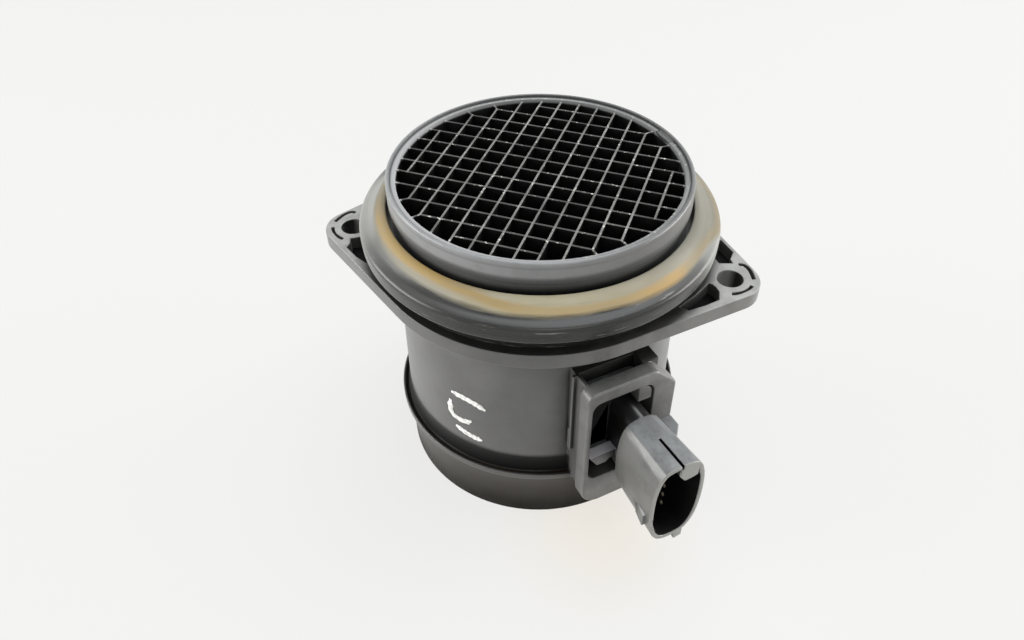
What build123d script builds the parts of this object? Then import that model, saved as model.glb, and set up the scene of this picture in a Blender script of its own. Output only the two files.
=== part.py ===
from build123d import *
import math
import os

# Mass airflow sensor: a short duct with a plug-in sensor, a flow straightener and an inlet seal.
# Sizes are in millimetres. +Z runs up the duct to its inlet and +X out of the electrical plug.
# The origin is the centre of the outlet end.

# ---- Duct: radii follow the bore, heights at the inlet end follow the duct's height ----
bore_radius = 40.0
duct_height = 100.7
spigot_wall = 2.5
spigot_radius = bore_radius + spigot_wall
edge_chamfer = 0.5
bead_under_z = 18.2
bead_height = 2.5
bead_radius = spigot_radius + bead_height
bead_top_z = 21.5
bead_lip_height = 1.7
bead_lip_width = 0.85
bead_groove_width = 1.0
bead_groove_depth = 1.1
bead_fillet_rise = 3.0
bead_fillet_in = 0.9
body_foot_wall = 2.3
body_foot_radius = bore_radius + body_foot_wall
body_foot_z = 27.1
body_head_wall = 1.8
body_head_radius = bore_radius + body_head_wall
flange_drop = 24.7
flange_top_z = duct_height - flange_drop
flange_thick = 4.7
flange_under_z = flange_top_z - flange_thick
neck_wall = 1.6
neck_radius = bore_radius + neck_wall
rim_length = 6.7
rim_under_z = duct_height - rim_length
rim_wall = 2.5
rim_radius = bore_radius + rim_wall

# ---- Flange and its two ears, measured along a line turned from +X ----
ear_line_turn = 50.0
collar_width = 8.7
collar_radius = bore_radius + collar_width
ear_overhang = 6.9
ear_reach = collar_radius + ear_overhang
ear_offset = -6.1
ear_radius = 8.4
ear_hole_radius = 3.65
ear_boss_wall = 2.15
ear_boss_drop = 2.3
flange_back_shift = 2.5
pocket_floor = 1.0
slot_width = 1.0

# ---- Flow straightener ----
grid_turn = 44.04
grid_pitch = 5.8
grid_wall = 0.6
grid_reach = 6
grid_outer_span = 2
grid_corners = [(5, 4), (4, 5)]
grid_ring_gap = 0.3
grid_drop = 1.5
grid_top_z = duct_height - grid_drop
grid_depth = 9.4
ring_ledge = 1.2
ring_outer_radius = bore_radius + ring_ledge
ring_inset = 0.1
ring_inner_radius = bore_radius - ring_inset
ring_seat_depth = 5.5
ring_seat_z = duct_height - ring_seat_depth
ring_drop = 0.9
ring_step = 0.4
ring_top_z = duct_height - ring_drop
ring_fit = 0.1
skirt_fit = 0.15
skirt_radius = bore_radius - skirt_fit
skirt_wall = 0.85
skirt_inner_radius = skirt_radius - skirt_wall
key_angle = 88.4
key_width = 7.0
key_depth = 1.4

# ---- Inlet seal, measured from the neck and the flange ----
seal_fit = 0.05
seal_foot_width = 4.4
seal_undercut_height = 5.4
seal_bulge_width = 9.5
seal_bulge_height = 10.2
seal_bulge_foot_height = 6.6
seal_bulge_swell = 0.4
seal_bulge_round = 1.0
seal_shoulder_width = 7.0
seal_shoulder_height = 12.6
seal_lip_width = 1.7
seal_lip_height = 15.7
seal_lip_thick = 0.9
seal_gap_height = 8.0

# ---- Boss that takes the plug-in sensor ----
boss_left_y = -12.6
boss_right_y = 15.7
boss_under_z = 16.2
boss_top_z = 63.8
seat_land = 3.1
seat_x = bore_radius + seat_land
well_depth = 4.5
plate_back_x = seat_x + well_depth
plate_thick = 4.6
plate_front_x = plate_back_x + plate_thick
boss_corner = 6.0
boss_corner_small = 3.0
boss_chamfer = 7.0
boss_neck_step = 1.3
boss_neck_right_y = 12.0
boss_neck_under_z = 20.0
boss_neck_root_x = bore_radius - neck_wall
side_rib_setback = 0.3
side_rib_x = seat_x - side_rib_setback
side_rib_width = 1.0
side_rib_under_z = 42.0
side_lug_under_z = 33.5
side_lug_step = 0.8
cavity_left_y = -11.1
cavity_right_y = 8.1
cavity_under_z = 28.0
cavity_top_z = 59.9
cavity_corner = 3.0
well_left_y = -10.3
well_right_y = 6.8

# ---- Plug-in sensor ----
base_fit = 0.4
base_thick = 3.2
base_front_x = seat_x + base_thick
lug_left_y = 3.4
lug_under_z = 54.0
lug_setback = 0.3
lug_front_x = plate_front_x - lug_setback
probe_left_y = -5.6
probe_right_y = 3.6
probe_under_z = 31.0
probe_top_z = 54.0
probe_length = 51.1
probe_tip_x = seat_x - probe_length
probe_corner = 1.5
probe_fit = 0.3
probe_wall = 1.4
lid_thick = 1.2
lid_ledge = 1.0
lid_fit = 0.1
chamber_setback = 4.1
chamber_root_x = seat_x - chamber_setback
chamber_length = 25.0
chamber_tip_x = chamber_root_x - chamber_length
bypass_partition = 2.5
bypass_root_x = chamber_tip_x - bypass_partition
bypass_length = 17.9
bypass_tip_x = bypass_root_x - bypass_length
bypass_floor_y = -3.6
bypass_width = 6.0
bypass_island = 3.0
bypass_island_x = bypass_tip_x + bypass_width + bypass_island
bypass_end_wall = 4.2
outlet_inset = 2.0

# ---- Seal round the probe ----
gland_width = 1.6
gland_depth = 1.2
gland_offset = 0.8
gland_fit = 0.05

# ---- Electrical plug ----
plug_centre_y = 1.2
plug_centre_z = 40.0
plug_reach = 24.2
plug_mouth_x = plate_front_x + plug_reach
plug_cup_length = 19.4
plug_cup_x = plug_mouth_x - plug_cup_length
plug_depth = 16.4
plug_floor_x = plug_mouth_x - plug_depth
plug_wall = 1.9
plug_half_height = 15.0
plug_half_width = 8.1
plug_root_half_height = 13.8
plug_root_half_width = 6.8
plug_corner = 2.0
plug_neck_left_y = -2.0
plug_neck_right_y = 5.6
plug_neck_top_z = 53.2
plug_neck_corner = 3.0
key_rail_left_y = 0.6
key_rail_right_y = 6.3
key_rail_drop = 4.6
key_rail_slope = 2.0
key_groove_inset = 0.2
key_groove_width = 0.8
key_groove_depth = 2.4
key_groove_length = 10.8
wing_left_y = 6.2
wing_right_y = 11.0
wing_top_z = 50.0
wing_thick = 2.4
wing_length = 7.4
wing_long_side = 3.9
wing_end_width = 1.8
foot_tab_left_y = 2.6
foot_tab_width = 2.6
foot_tab_drop = 2.6
foot_tab_length = 4.0
wedge_setback = 6.9
wedge_length = 4.8
wedge_rise = 1.0
wedge_height = 4.2
wedge_drop = 3.2
latch_right_y = -1.0
latch_under_z = 32.8
latch_top_z = 37.0
latch_setback = 0.4
latch_front_x = plate_front_x - latch_setback
latch_bevel = 2.6
latch_foot_width = 3.0
latch_step = 1.2
latch_slot_width = 2.0
latch_slot_depth = 1.6

# ---- Pins ----
pin_count = 5
pin_pitch = 3.8
pin_width = 1.5
pin_thick = 0.64
pin_pad_length = 5.0
pin_root_x = chamber_root_x - pin_pad_length
pin_setback = 5.6
pin_tip_x = plug_mouth_x - pin_setback
pin_point = 0.5

# ---- Electronics: the pins lie on the board and stay central in the plug ----
carrier_thick = 1.0
carrier_setback = 4.0
carrier_start_x = chamber_tip_x + carrier_setback
board_thick = 0.8
board_margin = 0.4
board_inset = 0.4
board_front_y = plug_centre_y - pin_thick / 2
carrier_front_y = board_front_y - board_thick
chamber_floor_y = carrier_front_y - carrier_thick
gel_gap = 0.4
signal_chip_size = 5.0
signal_chip_thick = 1.2
signal_chip_setback = 2.0
signal_chip_x = carrier_start_x + signal_chip_setback
capacitor_row_pitch = 7.5
capacitor_x = signal_chip_x + capacitor_row_pitch
capacitor_length = 2.0
capacitor_width = 1.25
capacitor_thick = 0.9
capacitor_pitch = 3.2
capacitor_count = 4
holder_width = 5.0
holder_grip = 3.4
holder_root_x = chamber_tip_x + holder_grip
holder_length = 13.4
holder_tip_x = holder_root_x - holder_length
holder_thick = 0.9
film_chip_setback = 0.8
film_chip_tip_x = holder_tip_x + film_chip_setback
film_chip_length = 4.2
film_chip_width = 3.0
film_chip_thick = 0.4

# ---- Air temperature bead ----
thermistor_reach = 16.1
thermistor_x = seat_x - thermistor_reach
thermistor_drop = 4.0
thermistor_z = probe_under_z - thermistor_drop
thermistor_inset = 2.0
thermistor_y = probe_left_y + thermistor_inset
thermistor_length = 3.4
thermistor_radius = 1.1
thermistor_round = 0.88
lead_radius = 0.3
lead_spread = 6.0
lead_grip = 1.2
lead_root_z = probe_under_z + lead_grip


def turned(points):
    """A solid of revolution about the duct's axis from radius and height pairs."""
    section = make_face(Polyline(*[(radius, 0, z) for radius, z in points], close=True))
    return revolve(section, Axis.Z, 360)


def block(low, high):
    """A box between two opposite corners."""
    size = [b - a for a, b in zip(low, high)]
    middle = [(a + b) / 2 for a, b in zip(low, high)]
    return Pos(*middle) * Box(*size)


def ear_frame(shape):
    """Turns a shape drawn along the line of the ears to where the ears are."""
    return Rot(0, 0, ear_line_turn) * shape


def upright(points, from_z, to_z):
    """A prism with a flat outline in plan."""
    outline = make_face(Polyline(*points, close=True))
    return Pos(0, 0, from_z) * extrude(outline, to_z - from_z)


def outward(sketch, from_x, to_x):
    """A prism along +X from an outline drawn with y across and z up."""
    plane = Plane(origin=(from_x, 0, 0), x_dir=(0, 1, 0), z_dir=(1, 0, 0))
    return extrude(plane * sketch, to_x - from_x)


def rounded_outline(points, radii):
    """A closed outline whose corners are rounded, each by its own radius."""
    outline = make_face(Polyline(*points, close=True))
    for point, radius in zip(points, radii):
        if radius:
            corner = outline.vertices().sort_by_distance((point[0], point[1], 0))[0]
            outline = fillet(corner, radius)
    return outline


# ---- Flange ----

# Outlines round an ear's hole: the first number runs outward along the line of the ears.
back_pocket = [(-3.4, 17.2), (0.3, 12.2), (-0.4, 8.8), (0.5, 7.1), (-3.3, 6.3), (-4.3, 7.9), (-11.0, 14.0)]
right_front_pocket = [
    (-5.6, -3.3), (-4.1, -3.6), (-2.6, -6.2), (-2.4, -9.6),
    (-5.7, -12.6), (-10.0, -15.7), (-12.5, -15.0), (-8.5, -9.0),
]
left_front_pocket = [
    (-1.1, -5.4), (-3.5, -3.4), (-6.5, -6.0), (-9.0, -9.5),
    (-12.5, -15.0), (-10.0, -15.7), (-6.7, -14.0), (-1.7, -10.0), (-2.0, -8.0),
]
back_slot = [(2.2, 6.8), (3.3, 7.0), (4.4, 6.2), (5.6, 4.2), (6.5, 1.2)]
front_slot = [(6.1, -1.7), (5.0, -3.4), (3.5, -4.9), (2.2, -5.9), (0.9, -6.4)]


def ear_features(side):
    """The pockets and slots sunk in one ear, for the right ear (1) or the left one (-1)."""
    floor_z = flange_under_z + pocket_floor
    front_pocket = right_front_pocket if side > 0 else left_front_pocket
    cut = []
    for outline in (back_pocket, front_pocket):
        points = [(side * (ear_reach + x), ear_offset + y) for x, y in outline]
        cut.append(upright(points, floor_z, flange_top_z))
    for line in (back_slot, front_slot):
        path = Spline(*[(side * (ear_reach + x), ear_offset + y) for x, y in line])
        slot = trace(path, line_width=slot_width)
        cut.append(Pos(0, 0, floor_z) * extrude(slot, flange_top_z - floor_z))
    return cut


def flange():
    """The mounting flange with an ear at each side."""
    collar = [Circle(collar_radius), Pos(0, flange_back_shift) * Circle(collar_radius)]
    ears = [Pos(side * ear_reach, ear_offset) * Circle(ear_radius) for side in (-1, 1)]
    outline = make_hull([shape.edges()[0] for shape in collar + ears])
    body = Pos(0, 0, flange_under_z) * extrude(outline, flange_top_z - flange_under_z)
    for side in (-1, 1):
        body -= ear_features(side)
    for side in (-1, 1):
        height = flange_thick + ear_boss_drop
        place = Pos(side * ear_reach, ear_offset, flange_top_z - height)
        body += place * extrude(Circle(ear_hole_radius + ear_boss_wall), height)
        body -= place * extrude(Circle(ear_hole_radius), height)
    return ear_frame(body)


# ---- Duct housing ----

def duct_tube():
    """The tube with its spigot, bead, flange neck and rim."""
    lip_inner = bead_radius - bead_lip_width
    groove_inner = lip_inner - bead_groove_width
    groove_floor_z = bead_top_z - bead_groove_depth
    section = [
        (bore_radius, 0),
        (spigot_radius - edge_chamfer, 0),
        (spigot_radius, edge_chamfer),
        (spigot_radius, bead_under_z),
        (bead_radius, bead_top_z - bead_lip_height),
        (bead_radius, bead_top_z),
        (lip_inner, bead_top_z),
        (lip_inner, groove_floor_z),
        (groove_inner, groove_floor_z),
        (groove_inner, bead_top_z),
        (groove_inner - bead_fillet_in, bead_top_z + bead_fillet_rise),
        (body_foot_radius, body_foot_z),
        (body_head_radius, flange_under_z),
        (body_head_radius, flange_top_z),
        (neck_radius, flange_top_z),
        (neck_radius, rim_under_z),
        (rim_radius, rim_under_z + edge_chamfer / 2),
        (rim_radius, duct_height - edge_chamfer),
        (rim_radius - edge_chamfer, duct_height),
        (ring_outer_radius + ring_fit, duct_height),
        (ring_outer_radius + ring_fit, ring_seat_z),
        (bore_radius, ring_seat_z),
    ]
    return turned(section)


def boss_outline():
    """The front of the boss, with y across and z up."""
    points = [
        (boss_left_y, boss_under_z),
        (boss_right_y, boss_under_z),
        (boss_right_y, boss_top_z - boss_chamfer),
        (boss_right_y - boss_chamfer, boss_top_z),
        (boss_left_y, boss_top_z),
    ]
    small = boss_corner_small
    return rounded_outline(points, [boss_corner, boss_corner, small, small, small])


def window_outline(margin):
    """The window through the front of the boss, drawn in all round by a margin."""
    width = cavity_right_y - cavity_left_y - 2 * margin
    height = cavity_top_z - cavity_under_z - 2 * margin
    centre = ((cavity_left_y + cavity_right_y) / 2, (cavity_under_z + cavity_top_z) / 2)
    return Pos(*centre) * RectangleRounded(width, height, cavity_corner)


def probe_outline(margin):
    """The probe's cross-section, widened all round by a margin."""
    width = probe_right_y - probe_left_y + 2 * margin
    height = probe_top_z - probe_under_z + 2 * margin
    centre = ((probe_left_y + probe_right_y) / 2, (probe_under_z + probe_top_z) / 2)
    return Pos(*centre) * RectangleRounded(width, height, probe_corner)


def boss():
    """The boss on the duct's side, with its window and the well behind its front plate."""
    plate = outward(boss_outline(), plate_back_x, plate_front_x)
    neck = block(
        (boss_neck_root_x, boss_left_y + boss_neck_step, boss_neck_under_z),
        (plate_back_x, boss_neck_right_y, boss_top_z),
    )
    rib = block(
        (side_rib_x, boss_left_y, side_rib_under_z),
        (side_rib_x + side_rib_width, boss_left_y + boss_neck_step, boss_top_z),
    )
    lug = block(
        (side_rib_x - side_lug_step, boss_left_y, side_lug_under_z),
        (side_rib_x + side_rib_width, boss_left_y + boss_neck_step, side_rib_under_z),
    )
    return plate + neck + rib + lug


def housing():
    """The moulded duct with flange and boss."""
    body = duct_tube() + flange() + boss()
    body -= extrude(Circle(bore_radius), ring_seat_z)
    body -= Pos(0, 0, ring_seat_z) * extrude(Circle(ring_outer_radius + ring_fit), duct_height)
    body -= outward(window_outline(0), seat_x, plate_front_x)
    body -= block((seat_x, well_left_y, cavity_top_z - cavity_corner), (plate_back_x, well_right_y, boss_top_z))
    body -= outward(probe_outline(probe_fit), bore_radius / 2, seat_x)
    return body + ring_key(0)


def ring_key(fit):
    """The key in the rim that sets the straightener's turn."""
    key = block(
        (ring_outer_radius - key_depth - fit, -key_width / 2 - fit, ring_seat_z - fit),
        (ring_outer_radius + 3 * ring_fit, key_width / 2 + fit, ring_top_z),
    )
    return Rot(0, 0, key_angle) * key


# ---- Flow straightener ----

def grid_lines():
    """Start and end, in grid steps, of every wall of the grid."""
    reach = {grid_reach: grid_outer_span} | dict(grid_corners)
    full = (ring_inner_radius - grid_ring_gap) / grid_pitch
    lines = []
    for index in range(-grid_reach, grid_reach + 1):
        end = reach.get(abs(index), math.sqrt(full**2 - index**2))
        lines.append(((index, -end), (index, end)))
        lines.append(((-end, index), (end, index)))
    for x, y in grid_corners:
        outer = full / math.hypot(x, y)
        for across in (-1, 1):
            for up in (-1, 1):
                lines.append(((across * x, up * y), (across * x * outer, up * y * outer)))
    return lines


def straightener():
    """The honeycomb that evens the flow, in its ring."""
    walls = Sketch()
    for start, end in grid_lines():
        length = math.dist(start, end) * grid_pitch + grid_wall
        middle = [(a + b) / 2 * grid_pitch for a, b in zip(start, end)]
        angle = math.degrees(math.atan2(end[1] - start[1], end[0] - start[0]))
        walls += Pos(*middle) * Rot(0, 0, angle) * Rectangle(length, grid_wall)
    walls = walls & Circle(skirt_radius)
    grid = Pos(0, 0, grid_top_z - grid_depth) * extrude(walls, grid_depth)
    ring = turned([
        (ring_inner_radius, ring_top_z),
        (ring_outer_radius, ring_top_z),
        (ring_outer_radius, ring_seat_z),
        (skirt_radius, ring_seat_z),
        (skirt_radius, grid_top_z - grid_depth),
        (skirt_inner_radius, grid_top_z - grid_depth),
        (skirt_inner_radius, ring_seat_z + ring_step),
    ])
    return Rot(0, 0, grid_turn) * grid + ring - ring_key(ring_fit)


# ---- Inlet seal ----

def inlet_seal():
    """The rubber seal that grips the duct's neck above the flange."""
    profile = [
        (0, 0),
        (seal_foot_width, 0),
        (seal_foot_width, seal_undercut_height),
        (seal_bulge_width - seal_bulge_round, seal_bulge_foot_height - seal_bulge_swell),
        (seal_bulge_width - seal_bulge_swell, seal_bulge_foot_height),
        (seal_bulge_width, seal_bulge_height),
        (seal_bulge_width - seal_bulge_swell, seal_bulge_height + seal_bulge_round),
        (seal_shoulder_width, seal_shoulder_height),
        (seal_lip_width + seal_lip_thick, seal_lip_height),
        (seal_lip_width, seal_lip_height),
        (seal_lip_width, seal_lip_height - seal_lip_thick),
        (seal_lip_width, seal_gap_height + seal_lip_width / 2),
        (seal_lip_width / 2, seal_gap_height),
        (0, seal_gap_height),
    ]
    inner = neck_radius + seal_fit
    return turned([(inner + across, flange_top_z + up) for across, up in profile])


# ---- Plug-in sensor ----

# The plug's oval as shares of its half width and half height, from the foot round to the top.
plug_shares = [(0.50, -1.0), (0.90, -0.62), (1.0, -0.10), (0.98, 0.42), (0.84, 0.78), (0.55, 1.0)]


def plug_outline(half_width, half_height, shrink):
    """The plug's oval section, with y across and z up."""
    right = [(x * half_width, z * half_height) for x, z in plug_shares]
    left = [(-x, z) for x, z in reversed(right)]
    outline = rounded_outline(right + left, [plug_corner] * 2 * len(right))
    if shrink:
        outline = offset(outline, -shrink)
    return Pos(plug_centre_y, plug_centre_z) * outline


def mouth_outline(shrink):
    """The plug's section at its mouth, drawn in by the wall or not."""
    return plug_outline(plug_half_width, plug_half_height, shrink)


def root_outline(shrink):
    """The plug's section at the root of its cup."""
    return plug_outline(plug_root_half_width, plug_root_half_height, shrink)


def pin_heights():
    """Height of each pin."""
    first = plug_centre_z - pin_pitch * (pin_count - 1) / 2
    return [first + index * pin_pitch for index in range(pin_count)]


def pin(z):
    """One contact blade, from its pad on the board to its point in the plug."""
    blade = block(
        (pin_root_x, board_front_y, z - pin_width / 2),
        (pin_tip_x, board_front_y + pin_thick, z + pin_width / 2),
    )
    tip = blade.faces().sort_by(Axis.X)[-1]
    return chamfer(tip.edges().filter_by(Axis.Y), pin_point)


def gland_loop(fit):
    """A loop round the probe, narrower on each side by a fit."""
    return probe_outline(gland_offset + gland_width - fit) - probe_outline(gland_offset + fit)


def chamber():
    """The hollow for the electronics, open to +y."""
    return block(
        (chamber_tip_x, chamber_floor_y, probe_under_z + probe_wall),
        (chamber_root_x, probe_right_y, probe_top_z - probe_wall),
    )


def lid(tip_x, root_x, fit):
    """A flat lid let into the probe's +y side."""
    return block(
        (tip_x - lid_ledge + fit, probe_right_y - lid_thick, probe_under_z + probe_wall - lid_ledge + fit),
        (root_x + lid_ledge - fit, probe_right_y, probe_top_z - probe_wall + lid_ledge - fit),
    )


def bypass_channel():
    """The measuring passage: in at the top near the tip, round a bend and out at the side."""
    low_z = probe_under_z + probe_wall
    high_z = probe_top_z - bypass_end_wall
    lid_y = probe_right_y - lid_thick
    down = block((bypass_tip_x, bypass_floor_y, low_z), (bypass_tip_x + bypass_width, lid_y, probe_top_z))
    across = block((bypass_tip_x, bypass_floor_y, low_z), (bypass_root_x, lid_y, low_z + bypass_width))
    up = block((bypass_island_x, bypass_floor_y, low_z), (bypass_root_x, lid_y, high_z))
    outlet = block(
        (bypass_island_x + outlet_inset, probe_left_y, high_z - bypass_width),
        (bypass_root_x - outlet_inset, bypass_floor_y, high_z),
    )
    return down + across + up + outlet


def key_rail():
    """The rail that hangs from the top of the plug's mouth, carried up through the wall above it."""
    top_z = plug_centre_z + plug_half_height
    low_z = top_z - plug_wall - key_rail_drop
    section = make_face(Polyline(
        (key_rail_left_y, top_z),
        (key_rail_left_y, low_z + key_rail_drop / 2),
        (key_rail_left_y + key_rail_slope, low_z),
        (key_rail_right_y, low_z),
        (key_rail_right_y, top_z),
        close=True,
    ))
    return outward(section, plug_floor_x - plug_wall, plug_mouth_x + plug_wall)


def plug_wing():
    """The flat wing on the plug's shoulder."""
    start_x = plug_cup_x
    points = [
        (start_x, wing_left_y),
        (start_x + wing_length, wing_left_y),
        (start_x + wing_length, wing_left_y + wing_end_width),
        (start_x + wing_long_side, wing_right_y),
        (start_x, wing_right_y),
    ]
    return upright(points, wing_top_z - wing_thick, wing_top_z)


def plug_wedge():
    """The wedge low on the plug's side that a locking clip slides over."""
    start_x = plug_mouth_x - wedge_setback
    side_y = plug_centre_y - plug_half_width + wedge_rise / 2
    points = [
        (start_x, side_y + wedge_rise),
        (start_x, side_y),
        (start_x + wedge_length, side_y - wedge_rise),
        (start_x + wedge_length, side_y + wedge_rise),
    ]
    low_z = plug_centre_z - wedge_drop - wedge_height
    return upright(points, low_z, low_z + wedge_height)


def plug():
    """The connector shroud with its neck, key rail, wing, wedge and foot tab."""
    plane = Plane(origin=(plug_cup_x, 0, 0), x_dir=(0, 1, 0), z_dir=(1, 0, 0))
    mouth_plane = plane.offset(plug_cup_length)
    floor_plane = plane.offset(plug_cup_length - plug_depth)
    cup = loft([plane * root_outline(0), mouth_plane * mouth_outline(0)])
    cavity = loft([floor_plane * root_outline(plug_wall), mouth_plane * mouth_outline(plug_wall)])
    cavity -= key_rail()
    top_z = plug_centre_z + plug_half_height
    under_z = plug_centre_z - plug_half_height
    neck_under_z = cavity_under_z + base_fit
    neck_width = plug_neck_right_y - plug_neck_left_y
    neck_height = plug_neck_top_z - neck_under_z
    neck_middle = Pos(plug_neck_left_y + neck_width / 2, neck_under_z + neck_height / 2)
    neck_section = neck_middle * RectangleRounded(neck_width, neck_height, plug_neck_corner)
    neck = outward(neck_section, base_front_x, plug_cup_x)
    foot = block(
        (plug_mouth_x - foot_tab_length, foot_tab_left_y, under_z - foot_tab_drop),
        (plug_mouth_x, foot_tab_left_y + foot_tab_width, under_z + plug_wall),
    )
    groove_y = key_rail_left_y + key_groove_inset
    groove = block(
        (plug_mouth_x - key_groove_length, groove_y, top_z - key_groove_depth),
        (plug_mouth_x, groove_y + key_groove_width, top_z + plug_wall),
    )
    return cup + neck + plug_wing() + plug_wedge() + foot - cavity - groove


def sensor_body(pins):
    """The sensor's moulding: base, probe and plug in one."""
    body = outward(window_outline(base_fit), seat_x, base_front_x)
    body += outward(probe_outline(0), probe_tip_x, base_front_x)
    body += latch()
    lug = outward(window_outline(base_fit), base_front_x, lug_front_x)
    body += lug & block(
        (base_front_x, lug_left_y, lug_under_z),
        (lug_front_x, cavity_right_y, cavity_top_z),
    )
    body += plug()
    body -= outward(gland_loop(0), seat_x, seat_x + gland_depth)
    body -= chamber()
    body -= lid(chamber_tip_x, chamber_root_x, 0)
    body -= bypass_channel()
    body -= lid(bypass_tip_x, bypass_root_x, 0)
    body -= element_holder()
    for part in pins + temperature_leads():
        body -= part
    return body


def latch():
    """The finger tab on the base that is pressed to free the sensor, with a slot behind it."""
    left_y = cavity_left_y + base_fit
    foot_y = left_y + latch_bevel + latch_foot_width
    outline = make_face(Polyline(
        (left_y, latch_top_z),
        (left_y + latch_bevel, latch_under_z),
        (foot_y, latch_under_z),
        (foot_y + latch_step, latch_under_z + latch_step),
        (latch_right_y, latch_under_z + latch_step),
        (latch_right_y, latch_top_z),
        close=True,
    ))
    slot = block(
        (base_front_x, left_y, latch_top_z - latch_slot_depth),
        (base_front_x + latch_slot_width, latch_right_y, latch_top_z),
    )
    return outward(outline, base_front_x, latch_front_x) - slot


def probe_middle_z():
    """Half way up the probe."""
    return (probe_under_z + probe_top_z) / 2


def element_holder():
    """The tongue that holds the hot film in the measuring passage."""
    return block(
        (holder_tip_x, chamber_floor_y, probe_middle_z() - holder_width / 2),
        (holder_root_x, chamber_floor_y + holder_thick, probe_middle_z() + holder_width / 2),
    )


def film_chip():
    """The hot film chip on its holder."""
    under_y = chamber_floor_y + holder_thick
    return block(
        (film_chip_tip_x, under_y, probe_middle_z() - film_chip_width / 2),
        (film_chip_tip_x + film_chip_length, under_y + film_chip_thick, probe_middle_z() + film_chip_width / 2),
    )


def chamber_slab(inset, from_y, to_y):
    """A flat piece that fills the chamber's plan, drawn in all round by an inset."""
    return block(
        (carrier_start_x + inset, from_y, probe_under_z + probe_wall + inset),
        (chamber_root_x - inset, to_y, probe_top_z - probe_wall - inset),
    )


def signal_chip():
    """The chip that reads the hot film."""
    return block(
        (signal_chip_x, board_front_y, probe_middle_z() - signal_chip_size / 2),
        (
            signal_chip_x + signal_chip_size,
            board_front_y + signal_chip_thick,
            probe_middle_z() + signal_chip_size / 2,
        ),
    )


def capacitors():
    """A row of small capacitors on the board."""
    row = []
    for index in range(capacitor_count):
        z = probe_middle_z() + (index - (capacitor_count - 1) / 2) * capacitor_pitch
        row.append(block(
            (capacitor_x, board_front_y, z - capacitor_width / 2),
            (capacitor_x + capacitor_length, board_front_y + capacitor_thick, z + capacitor_width / 2),
        ))
    return row


def thermistor():
    """The glass bead that reads the air temperature."""
    barrel = Pos(thermistor_x, thermistor_y, thermistor_z) * Rot(0, 90, 0) * Cylinder(
        thermistor_radius, thermistor_length
    )
    return fillet(barrel.edges().filter_by(GeomType.CIRCLE), thermistor_round)


def temperature_leads():
    """The two wires that carry the bead below the probe."""
    leads = []
    for side in (-1, 1):
        start_x = thermistor_x + side * thermistor_length / 2
        foot_x = thermistor_x + side * lead_spread / 2
        path = FilletPolyline(
            (start_x, thermistor_y, thermistor_z),
            (foot_x, thermistor_y, thermistor_z),
            (foot_x, thermistor_y, lead_root_z),
            radius=3 * lead_radius,
        )
        section = Plane(origin=path @ 0, z_dir=path % 0) * Circle(lead_radius)
        leads.append(sweep(section, path=path))
    return leads


def gel(pins):
    """The soft fill over the board."""
    depth_y = probe_right_y - lid_thick - gel_gap
    fill = chamber_slab(board_margin + board_inset, board_front_y, depth_y)
    for part in [signal_chip()] + capacitors() + pins:
        fill -= part
    return fill


os.makedirs("parts", exist_ok=True)
contact_pins = [pin(z) for z in pin_heights()]
left_lead, right_lead = temperature_leads()
pieces = {
    "tube_housing": housing(),
    "flow_straightener": straightener(),
    "inlet_seal": inlet_seal(),
    "sensor_housing": sensor_body(contact_pins),
    "probe_seal": outward(gland_loop(gland_fit), seat_x, seat_x + gland_depth - gland_fit),
    "electronics_cover": lid(chamber_tip_x, chamber_root_x, lid_fit),
    "bypass_cover": lid(bypass_tip_x, bypass_root_x, lid_fit),
    "carrier_plate": chamber_slab(board_margin, chamber_floor_y, carrier_front_y),
    "circuit_board": chamber_slab(board_margin + board_inset, carrier_front_y, board_front_y),
    "protective_gel": gel(contact_pins),
    "signal_chip": signal_chip(),
    "capacitors": Compound(capacitors()),
    "element_holder": element_holder(),
    "hot_film_chip": film_chip(),
    "temperature_bead": thermistor() - left_lead - right_lead,
    "temperature_lead_1": left_lead,
    "temperature_lead_2": right_lead,
}
for number, blade in enumerate(contact_pins, start=1):
    pieces[f"contact_pin_{number}"] = blade
for name, shape in pieces.items():
    export_step(shape, f"parts/{name}.step")
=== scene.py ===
import math

import bmesh
import bpy
from mathutils import Matrix, Vector
from mathutils.bvhtree import BVHTree


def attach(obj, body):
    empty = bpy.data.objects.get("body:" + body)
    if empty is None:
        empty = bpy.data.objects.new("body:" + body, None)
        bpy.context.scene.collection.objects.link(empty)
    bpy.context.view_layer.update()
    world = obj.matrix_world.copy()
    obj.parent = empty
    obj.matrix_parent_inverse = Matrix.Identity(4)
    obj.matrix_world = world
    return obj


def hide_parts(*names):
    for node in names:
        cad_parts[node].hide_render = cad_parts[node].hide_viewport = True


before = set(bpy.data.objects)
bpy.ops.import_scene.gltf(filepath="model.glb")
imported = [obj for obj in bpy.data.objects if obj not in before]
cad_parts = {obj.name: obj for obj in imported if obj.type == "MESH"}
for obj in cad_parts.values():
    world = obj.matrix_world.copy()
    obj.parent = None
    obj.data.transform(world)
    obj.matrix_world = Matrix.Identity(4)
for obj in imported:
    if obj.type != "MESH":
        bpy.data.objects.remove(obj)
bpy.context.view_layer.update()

MM = 0.001

# ---- Camera ----
CAMERA_PLACE = Vector((175.810, -94.909, 227.668)) * MM
CAMERA_AIM = Vector((-3.604, -7.389, 43.640)) * MM
CAMERA_ROLL = math.radians(-0.820)
CAMERA_LENS = 29.781

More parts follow.
